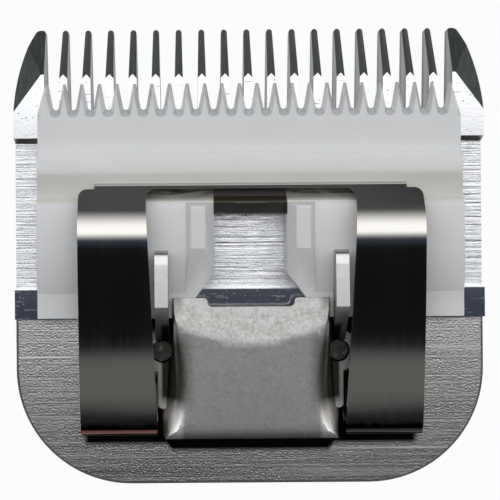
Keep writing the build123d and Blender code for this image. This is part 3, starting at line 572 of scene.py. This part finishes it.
def tumbled_steel(finish):
    """Stamped steel, tumbled in stones: matte and mottled, with small flecks and shallow dents."""
    material, tree, shader, place = start_material("tumbled_stamped_steel", metallic=1.0)
    mottle = add(tree, "ShaderNodeTexNoise", {"Vector": place, "Scale": 1.1, "Detail": 3.0, "Roughness": 0.6})
    flecks = add(tree, "ShaderNodeTexNoise", {"Vector": place, "Scale": 3.2, "Detail": 3.0, "Roughness": 0.7})
    level = add(tree, "ShaderNodeMath", {0: mottle, 1: 0.5, 2: flecks}, operation="MULTIPLY_ADD")
    tint = add(tree, "ShaderNodeMapRange", {VALUE: level, LOW: 0.55, HIGH: 0.95})
    body = add(tree, "ShaderNodeMix", {SHARE: tint, FIRST: linear("#9c9b98"), SECOND: finish.socket_colour},
               data_type="RGBA")
    # Painted shade: the steep walls and the corner along their foot are darkened, where they turn away from
    # the light
    x, y, z = add(tree, "ShaderNodeSeparateXYZ", {0: place}).outputs
    x = add(tree, "ShaderNodeMath", {0: x}, operation="ABSOLUTE")
    inner = add(tree, "ShaderNodeMapRange", {VALUE: x, LOW: FOOT_X + 0.1, HIGH: FOOT_X - 0.15})
    outer = add(tree, "ShaderNodeMapRange", {VALUE: x, LOW: SHOULDER_X - 0.4, HIGH: SHOULDER_X + 0.1})
    low = add(tree, "ShaderNodeMapRange", {VALUE: z, LOW: SHOULDER_Z, HIGH: SHOULDER_Z - 0.6})
    ahead = add(tree, "ShaderNodeMapRange", {VALUE: y, LOW: CORNER_Y, HIGH: CORNER_Y + 1.8})
    painted_shade = add(tree, "ShaderNodeMath", {0: inner, 1: low}, operation="MULTIPLY")
    painted_shade = add(tree, "ShaderNodeMath", {0: painted_shade, 1: outer}, operation="MULTIPLY")
    painted_shade = add(tree, "ShaderNodeMath", {0: painted_shade, 1: ahead}, operation="MULTIPLY")
    # and the painted shade fades out over the roof's shoulders
    edge = add(tree, "ShaderNodeMapRange", {VALUE: x, LOW: SHOULDER_X - 1.5, HIGH: SHOULDER_X + 0.3,
                                            START: 0.0, END: 0.9})
    front = add(tree, "ShaderNodeMapRange", {VALUE: y, LOW: SHOULDER_FRONT_Y, HIGH: SHOULDER_FRONT_Y - 2.0})
    edge = add(tree, "ShaderNodeMath", {0: edge, 1: front}, operation="MULTIPLY")
    edge = add(tree, "ShaderNodeMath", {0: edge, 1: ahead}, operation="MULTIPLY")
    edge = add(tree, "ShaderNodeMath", {0: edge, 1: inner}, operation="MULTIPLY")
    painted_shade = add(tree, "ShaderNodeMath", {0: painted_shade, 1: edge}, operation="MAXIMUM")
    body = add(tree, "ShaderNodeMix", {SHARE: painted_shade, FIRST: body, SECOND: linear("#37342f")},
               data_type="RGBA")
    # Painted highlight: the flared rear corners are coloured bright, where they catch the light
    corner = add(tree, "ShaderNodeMath", {0: 1.0, 1: ahead}, operation="SUBTRACT")
    corner = add(tree, "ShaderNodeMath", {0: corner, 1: outer}, operation="MULTIPLY")
    body = add(tree, "ShaderNodeMix", {SHARE: corner, FIRST: body, SECOND: linear("#ecebe9")},
               data_type="RGBA")
    feed(tree, shader, {"Base Color": body})
    rough = add(tree, "ShaderNodeMapRange", {VALUE: level, LOW: 0.55, HIGH: 0.95, START: 0.44, END: 0.36})
    feed(tree, shader, {"Roughness": rough})
    bump = add(tree, "ShaderNodeBump", {"Height": level, "Strength": 0.16, "Distance": 0.03 * MM})
    feed(tree, shader, {"Normal": bump})
    return material


def rubbed_steel(finish):
    """Ears of the stamping, rubbed smooth by the spring and the tongue: satin, with soft cloudy patches."""
    material, tree, shader, place = start_material("rubbed_stamped_steel", metallic=1.0)
    cloud = add(tree, "ShaderNodeTexNoise", {"Vector": place, "Scale": 1.2, "Detail": 3.0})
    rough = add(tree, "ShaderNodeMapRange", {VALUE: cloud, LOW: 0.3, HIGH: 0.7, START: 0.17, END: 0.25})
    feed(tree, shader, {"Roughness": rough})
    feed(tree, shader, {"Base Color": finish.socket_colour})
    return material


def blackened_steel(finish):
    """Steel screws, heat blackened and oiled: dark, with paler rubbed spots."""
    material, tree, shader, place = start_material("blackened_screw_steel", metallic=1.0)
    rubbed = add(tree, "ShaderNodeTexNoise", {"Vector": place, "Scale": 1.6, "Detail": 4.0, "Roughness": 0.6})
    rubbed = add(tree, "ShaderNodeMapRange", {VALUE: rubbed, LOW: 0.52, HIGH: 0.72})
    body = add(tree, "ShaderNodeMix", {SHARE: rubbed, FIRST: finish.screw_colour, SECOND: linear("#85827d")},
               data_type="RGBA")
    feed(tree, shader, {"Base Color": body})
    rough = add(tree, "ShaderNodeMapRange", {VALUE: rubbed, START: 0.45, END: 0.32})
    feed(tree, shader, {"Roughness": rough})
    return material


def dull_steel():
    """Steel left as the slotting wheel cut it between the teeth and in the groove wall: dull and darker."""
    material, tree, shader, place = start_material("dull_slotted_steel", metallic=1.0)
    stretch = add(tree, "ShaderNodeMapping", {"Vector": place, "Scale": (1.0, 0.4, 4.0)})
    lines = add(tree, "ShaderNodeTexNoise", {"Vector": stretch, "Scale": 1.5, "Detail": 4.0})
    body = add(tree, "ShaderNodeMix", {SHARE: lines, FIRST: linear("#7d7a76"), SECOND: linear("#939190")},
               data_type="RGBA")
    feed(tree, shader, {"Base Color": body})
    rough = add(tree, "ShaderNodeMapRange", {VALUE: lines, LOW: 0.3, HIGH: 0.7, START: 0.32, END: 0.42})
    feed(tree, shader, {"Roughness": rough})
    return material


def comb_zone(middle, normal):
    """Which finish a face of the comb has."""
    if normal.z > FLAT_FACE:
        for name, height in (("lapped", LAND_Z), ("groove", GROOVE_Z), ("plate", PLATE_Z)):
            if abs(middle.z - height) < ZONE_MARGIN:
                return name
    if abs(normal.x) > SLOT_FACE and middle.y > SLOT_Y or abs(middle.y - GROOVE_WALL_Y) < GROOVE_WALL_RUN:
        return "slotted"
    if SLOPE_LOW < normal.z < FLAT_FACE:
        return "bevel"
    return "side"


def cutter_zone(middle, normal):
    """Which finish a face of the cutter has: the roots of its gullets are ground."""
    if middle.y > GULLET_Y and normal.y > ROOT_FACE and abs(normal.z) < FLAT_FACE:
        return "ground"
    return "fired"


def socket_zone(middle, normal):
    """Which finish a face of the socket has: its ears are rubbed smooth."""
    if abs(middle.x) > EAR_X and middle.y > EAR_Y and middle.z > EAR_Z:
        return "rubbed"
    return "tumbled"


class BLADE_OT_comb(bpy.types.Operator):
    """Give the comb its lapped, ground and brushed steel"""
    bl_idname = "blade.comb"
    bl_label = "Comb"

    def execute(self, context):
        finish = context.scene.blade_finish
        piece = dressed("comb", "base", finish.steel_edge, segments=2)
        materials = {
            "lapped": lapped_steel(finish),
            "groove": brushed_steel("ground_groove_steel", linear("#e8e9eb"), rough=0.24, spacing=0.30,
                                    depth=0.08, grit=0.25, curls=0.6),
            "plate": brushed_steel("brushed_plate_steel", finish.plate_colour, rough=0.24, spacing=0.20,
                                   # The plate carries a painted shadow behind the spring and the socket
                                   depth=0.009, grit=2.2, painted_shadow=True),
            "bevel": shaded_bevel_steel(finish),
            "side": side_steel(finish),
            "slotted": dull_steel(),
        }
        paint(piece, materials, comb_zone)
        return {"FINISHED"}


class BLADE_OT_cutter(bpy.types.Operator):
    """Give the cutter its white ceramic"""
    bl_idname = "blade.cutter"
    bl_label = "Cutter"

    def execute(self, context):
        finish = context.scene.blade_finish
        piece = dressed("cutter", "cutter", finish.ceramic_edge, segments=3)
        shade_along(piece.data, (FALL_REAR_Y, LAND_Z), (FALL_FRONT_Y, FALL_TOP_Z), fall_lean)
        shade_along(piece.data, (RIDGE_LEANS[0][0], LAND_Z), (RIDGE_LEANS[-1][0], RIDGE_TOP_Z), ridge_lean)
        # The gullet roots carry a greyer colour as painted shade
        paint(piece, {"fired": white_ceramic(finish), "ground": gullet_shade_ceramic()}, cutter_zone)
        return {"FINISHED"}


class BLADE_OT_spring(bpy.types.Operator):
    """Give the tension spring its polished spring steel"""
    bl_idname = "blade.spring"
    bl_label = "Tension spring"

    def execute(self, context):
        finish = context.scene.blade_finish
        step = (EASE_REAR_Y - EASE_FRONT_Y) / (EASE_CUTS - 1)
        cuts = [EASE_FRONT_Y + step * i for i in range(EASE_CUTS)]
        piece = dressed("tension_spring", "base", finish.steel_edge, segments=2, cuts=cuts)
        shade_along(piece.data, (EASE_REAR_Y, CREST_LOW_Z), (CREST_FRONT_Y, math.inf), crest_lean)
        piece.data.materials.append(spring_steel(finish))
        return {"FINISHED"}


class BLADE_OT_socket(bpy.types.Operator):
    """Give the socket its tumbled steel"""
    bl_idname = "blade.socket"
    bl_label = "Socket"

    def execute(self, context):
        finish = context.scene.blade_finish
        piece = dressed("socket", "base", finish.steel_edge, segments=2,
                        cuts=(EAR_FLAT_Y, EAR_NOSE_Y))
        shade_along(piece.data, (-math.inf, ROOF_LOW_Z), (ROOF_FACES_Y, math.inf), roof_lean)
        shade_along(piece.data, (EAR_REAR_Y, EAR_TOP_Z), (EAR_FRONT_Y, math.inf), ear_lean)
        paint(piece, {"tumbled": tumbled_steel(finish), "rubbed": rubbed_steel(finish)}, socket_zone)
        return {"FINISHED"}


def screw_tree(material):
    """Node tree for a row of two slotted screws: flat head with a driver slot, core and rolled thread."""
    tree = bpy.data.node_groups.new("slotted_screws", "GeometryNodeTree")
    for name in ("Spacing", "Setback", "Low", "High", "Head diameter", "Head height", "Slot width",
                 "Slot depth", "Thread diameter", "Thread pitch"):
        tree.interface.new_socket(name, in_out="INPUT", socket_type="NodeSocketFloat")
    tree.interface.new_socket("Geometry", in_out="OUTPUT", socket_type="NodeSocketGeometry")
    size = add(tree, "NodeGroupInput").outputs

    # Head, with the driver slot cut across it
    radius = add(tree, "ShaderNodeMath", {0: size["Head diameter"], 1: 0.5}, operation="MULTIPLY")
    middle = add(tree, "ShaderNodeMath", {0: size["Head height"], 1: 0.5, 2: size["Low"]},
                 operation="MULTIPLY_ADD")
    lift = add(tree, "ShaderNodeCombineXYZ", {"Z": middle})
    head = add(tree, "GeometryNodeMeshCylinder",
               {"Vertices": HEAD_SIDES, "Radius": radius, "Depth": size["Head height"]})
    head = add(tree, "GeometryNodeTransform", {"Geometry": head, "Translation": lift})
    across = add(tree, "ShaderNodeMath", {0: size["Head diameter"], 1: SLOT_OVERRUN}, operation="MULTIPLY")
    height = add(tree, "ShaderNodeMath", {0: size["Slot depth"], 1: 2.0}, operation="MULTIPLY")
    block = add(tree, "ShaderNodeCombineXYZ", {"X": across, "Y": size["Slot width"], "Z": height})
    lift = add(tree, "ShaderNodeCombineXYZ", {"Z": size["Low"]})
    slot = add(tree, "GeometryNodeMeshCube", {"Size": block})
    slot = add(tree, "GeometryNodeTransform", {"Geometry": slot, "Translation": lift})
    head = add(tree, "GeometryNodeMeshBoolean", {"Mesh 1": head, "Mesh 2": slot}, operation="DIFFERENCE")

    # Core, from the head to the end
    tooth = add(tree, "ShaderNodeMath", {0: size["Thread pitch"], 1: TOOTH_SHARE}, operation="MULTIPLY")
    outside = add(tree, "ShaderNodeMath", {0: size["Thread diameter"], 1: 0.5}, operation="MULTIPLY")
    core = add(tree, "ShaderNodeMath", {0: outside, 1: tooth}, operation="SUBTRACT")
    start = add(tree, "ShaderNodeMath", {0: size["Low"], 1: size["Head height"]}, operation="ADD")
    length = add(tree, "ShaderNodeMath", {0: size["High"], 1: start}, operation="SUBTRACT")
    middle = add(tree, "ShaderNodeMath", {0: length, 1: 0.5, 2: start}, operation="MULTIPLY_ADD")
    lift = add(tree, "ShaderNodeCombineXYZ", {"Z": middle})
    shank = add(tree, "GeometryNodeMeshCylinder", {"Vertices": SHANK_SIDES, "Radius": core, "Depth": length})
    shank = add(tree, "GeometryNodeTransform", {"Geometry": shank, "Translation": lift})

    # Thread wound round it, just clear of both ends
    spare = add(tree, "ShaderNodeMath", {0: tooth, 1: 2 * THREAD_CLEAR}, operation="MULTIPLY")
    wound = add(tree, "ShaderNodeMath", {0: length, 1: spare}, operation="SUBTRACT")
    turns = add(tree, "ShaderNodeMath", {0: wound, 1: size["Thread pitch"]}, operation="DIVIDE")
    helix = add(tree, "GeometryNodeCurveSpiral", {"Resolution": SHANK_SIDES, "Rotations": turns,
                                                  "Start Radius": core, "End Radius": core, "Height": wound})
    profile = add(tree, "GeometryNodeCurvePrimitiveCircle", {"Resolution": THREAD_SIDES, "Radius": tooth})
    thread = add(tree, "GeometryNodeCurveToMesh",
                 {"Curve": helix, "Profile Curve": profile, "Fill Caps": True})
    foot = add(tree, "ShaderNodeMath", {0: tooth, 1: THREAD_CLEAR, 2: start}, operation="MULTIPLY_ADD")
    lift = add(tree, "ShaderNodeCombineXYZ", {"Z": foot})
    thread = add(tree, "GeometryNodeTransform", {"Geometry": thread, "Translation": lift})

    screw = add(tree, "GeometryNodeJoinGeometry")
    for piece in (head, shank, thread):
        feed(tree, screw, {0: piece})
    left = add(tree, "ShaderNodeMath", {0: size["Spacing"], 1: -0.5}, operation="MULTIPLY")
    first = add(tree, "ShaderNodeCombineXYZ", {"X": left, "Y": size["Setback"]})
    step = add(tree, "ShaderNodeCombineXYZ", {"X": size["Spacing"]})
    places = add(tree, "GeometryNodeMeshLine", {"Count": 2, "Start Location": first, "Offset": step})
    screws = add(tree, "GeometryNodeInstanceOnPoints", {"Points": places, "Instance": screw})
    screws = add(tree, "GeometryNodeRealizeInstances", {"Geometry": screws})
    screws = add(tree, "GeometryNodeSetMaterial", {"Geometry": screws, "Material": material})
    add(tree, "NodeGroupOutput", {"Geometry": screws})
    return tree


class BLADE_OT_screws(bpy.types.Operator):
    """Set two slotted screws in the comb and the socket"""
    bl_idname = "blade.screws"
    bl_label = "Screws"

    def execute(self, context):
        sizes = context.scene.screw_sizes
        head_diameter = SCREW_HIGH.y - SCREW_LOW.y
        values = {
            "Spacing": SCREW_HIGH.x - SCREW_LOW.x - head_diameter,
            "Setback": (SCREW_HIGH.y + SCREW_LOW.y) / 2,
            "Low": SCREW_LOW.z,
            "High": SCREW_HIGH.z,
            "Head diameter": head_diameter,
            "Head height": sizes.head_height,
            "Slot width": sizes.slot_width,
            "Slot depth": sizes.slot_depth,
            "Thread diameter": sizes.thread_diameter,
            "Thread pitch": sizes.thread_pitch,
        }
        piece = bpy.data.objects.new("screws_dressed", bpy.data.meshes.new("screws_start"))
        context.scene.collection.objects.link(piece)
        maker = piece.modifiers.new("screws", "NODES")
        maker.node_group = screw_tree(blackened_steel(context.scene.blade_finish))
        for item in maker.node_group.interface.items_tree:
            if item.in_out == "INPUT":
                maker[item.identifier] = values[item.name] / MM
        finish_mesh(piece, SCREW_EDGE, segments=2)
        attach(piece, "base")
        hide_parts("screws")
        return {"FINISHED"}


class BLADE_OT_stage(bpy.types.Operator):
    """Set up the camera, the floor and the light"""
    bl_idname = "blade.stage"
    bl_label = "Stage"

    def execute(self, context):
        scene = context.scene
        scene.view_settings.view_transform = "Standard"
        set_camera(scene)
        make_floor(scene)
        light_world(scene)
        return {"FINISHED"}


def set_camera(scene):
    """Camera straight above the blade, left of its middle, with the frame shifted back onto the blade."""
    lens = bpy.data.cameras.new("camera")
    camera = bpy.data.objects.new("camera", lens)
    scene.collection.objects.link(camera)
    x = (NADIR_PIXEL[0] - ORIGIN_PIXEL[0]) * PIXEL_MM
    y = (ORIGIN_PIXEL[1] - NADIR_PIXEL[1]) * PIXEL_MM
    turned = Matrix.Rotation(CAMERA_ROLL, 3, "Z") @ Vector((x, y, LAND_Z + CAMERA_REACH))
    camera.location = turned * MM
    camera.rotation_euler.z = CAMERA_ROLL
    lens.sensor_width = SENSOR_MM
    lens.lens = SENSOR_MM * CAMERA_REACH / (IMAGE_PIXELS * PIXEL_MM)
    lens.shift_x = (IMAGE_PIXELS / 2 - NADIR_PIXEL[0]) / IMAGE_PIXELS
    lens.shift_y = (NADIR_PIXEL[1] - IMAGE_PIXELS / 2) / IMAGE_PIXELS
    lens.clip_start = 1 * MM
    lens.clip_end = 10
    scene.camera = camera


def make_floor(scene):
    """Pale floor, white to the lens and in reflections, that keeps a soft shadow and is clear from below."""
    mesh = bpy.data.meshes.new("floor")
    corners = ((-1, -1), (1, -1), (1, 1), (-1, 1))
    mesh.from_pydata([(x * FLOOR_HALF, y * FLOOR_HALF, -FLOOR_GAP) for x, y in corners], [], [(0, 1, 2, 3)])
    floor = bpy.data.objects.new("floor", mesh)
    scene.collection.objects.link(floor)
    material = bpy.data.materials.new("pale_floor")
    material.use_nodes = True
    tree = material.node_tree
    tree.nodes.clear()
    path = add(tree, "ShaderNodeLightPath")
    shaded = add(tree, "ShaderNodeBsdfDiffuse", {"Color": FLOOR_COLOUR})
    glow = add(tree, "ShaderNodeEmission", {"Color": (1, 1, 1), "Strength": 1.0})
    # Reflections of the floor are dimmer close to it, as where a thing stands on it
    near = add(tree, "ShaderNodeMapRange", {VALUE: path.outputs["Ray Length"], LOW: CONTACT_NEAR,
                                            HIGH: CONTACT_FAR, START: CONTACT_SHARE})
    mirrored = add(tree, "ShaderNodeMath", {0: path.outputs["Is Glossy Ray"], 1: near}, operation="MULTIPLY")
    seen = path.outputs["Is Camera Ray"]
    for ray in (mirrored.outputs[0], path.outputs["Is Transmission Ray"]):
        seen = add(tree, "ShaderNodeMath", {0: seen, 1: ray}, operation="MAXIMUM").outputs[0]
    share = add(tree, "ShaderNodeMath", {0: seen, 1: FLOOR_WHITE}, operation="MULTIPLY")
    mix = add(tree, "ShaderNodeMixShader", {0: share, 1: shaded, 2: glow})
    below = add(tree, "ShaderNodeNewGeometry").outputs["Backfacing"]
    clear = add(tree, "ShaderNodeBsdfTransparent")
    mix = add(tree, "ShaderNodeMixShader", {0: below, 1: mix, 2: clear})
    add(tree, "ShaderNodeOutputMaterial", {"Surface": mix})
    mesh.materials.append(material)


def light_world(scene):
    """Studio round the blade, as its table of lights says, and plain white to the lens."""
    world = bpy.data.worlds.new("studio")
    scene.world = world
    world.use_nodes = True
    tree = world.node_tree
    tree.nodes.clear()
    place = add(tree, "ShaderNodeTexCoord")
    x, y, z = add(tree, "ShaderNodeSeparateXYZ", {0: place.outputs["Generated"]}).outputs
    side = add(tree, "ShaderNodeMath", {0: x, 1: z}, operation="ARCTAN2")
    angles = {"lean": add(tree, "ShaderNodeMath", {0: y, 1: z}, operation="ARCTAN2"),
              "side": add(tree, "ShaderNodeMath", {0: side}, operation="ABSOLUTE")}
    lights = []
    for code, ramps in STUDIO:
        strength = 1.0
        for angle, low, high, start, end in ramps:
            ramp = add(tree, "ShaderNodeMapRange", {VALUE: angles[angle], LOW: math.radians(low),
                                                    HIGH: math.radians(high), START: start, END: end},
                       interpolation_type="SMOOTHSTEP")
            strength = add(tree, "ShaderNodeMath", {0: strength, 1: ramp}, operation="MULTIPLY")
        lights.append(add(tree, "ShaderNodeBackground", {"Color": linear(code), "Strength": strength}))
    studio = lights[0]
    for light in lights[1:]:
        studio = add(tree, "ShaderNodeAddShader", {0: studio, 1: light})
    white = add(tree, "ShaderNodeBackground", {"Color": (1, 1, 1), "Strength": 1.0})
    path = add(tree, "ShaderNodeLightPath")
    mix = add(tree, "ShaderNodeMixShader", {0: path.outputs["Is Camera Ray"], 1: studio, 2: white})
    add(tree, "ShaderNodeOutputWorld", {"Surface": mix})


class BLADE_PT_panel(bpy.types.Panel):
    """Blade set"""
    bl_label = "Blade set"
    bl_idname = "BLADE_PT_panel"
    bl_space_type = "VIEW_3D"
    bl_region_type = "UI"
    bl_category = "Blade"

    def draw(self, context):
        for group in (context.scene.blade_finish, context.scene.screw_sizes):
            for name in group.bl_rna.properties.keys():
                if name not in {"rna_type", "name"}:
                    self.layout.prop(group, name)
        for operator in OPERATORS:
            self.layout.operator(operator.bl_idname)


OPERATORS = (BLADE_OT_comb, BLADE_OT_cutter, BLADE_OT_spring, BLADE_OT_socket, BLADE_OT_screws,
             BLADE_OT_stage)
CLASSES = (BladeFinish, ScrewSizes, *OPERATORS, BLADE_PT_panel)


def register():
    """Add the classes and the scene's settings."""
    for cls in CLASSES:
        bpy.utils.register_class(cls)
    bpy.types.Scene.blade_finish = PointerProperty(type=BladeFinish)
    bpy.types.Scene.screw_sizes = PointerProperty(type=ScrewSizes)


def unregister():
    """Take the settings and the classes away again."""
    del bpy.types.Scene.screw_sizes
    del bpy.types.Scene.blade_finish
    for cls in reversed(CLASSES):
        bpy.utils.unregister_class(cls)


def main():
    """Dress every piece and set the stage."""
    register()
    bpy.ops.blade.comb()
    bpy.ops.blade.cutter()
    bpy.ops.blade.spring()
    bpy.ops.blade.socket()
    bpy.ops.blade.screws()
    bpy.ops.blade.stage()


if __name__ == "__main__":
    main()
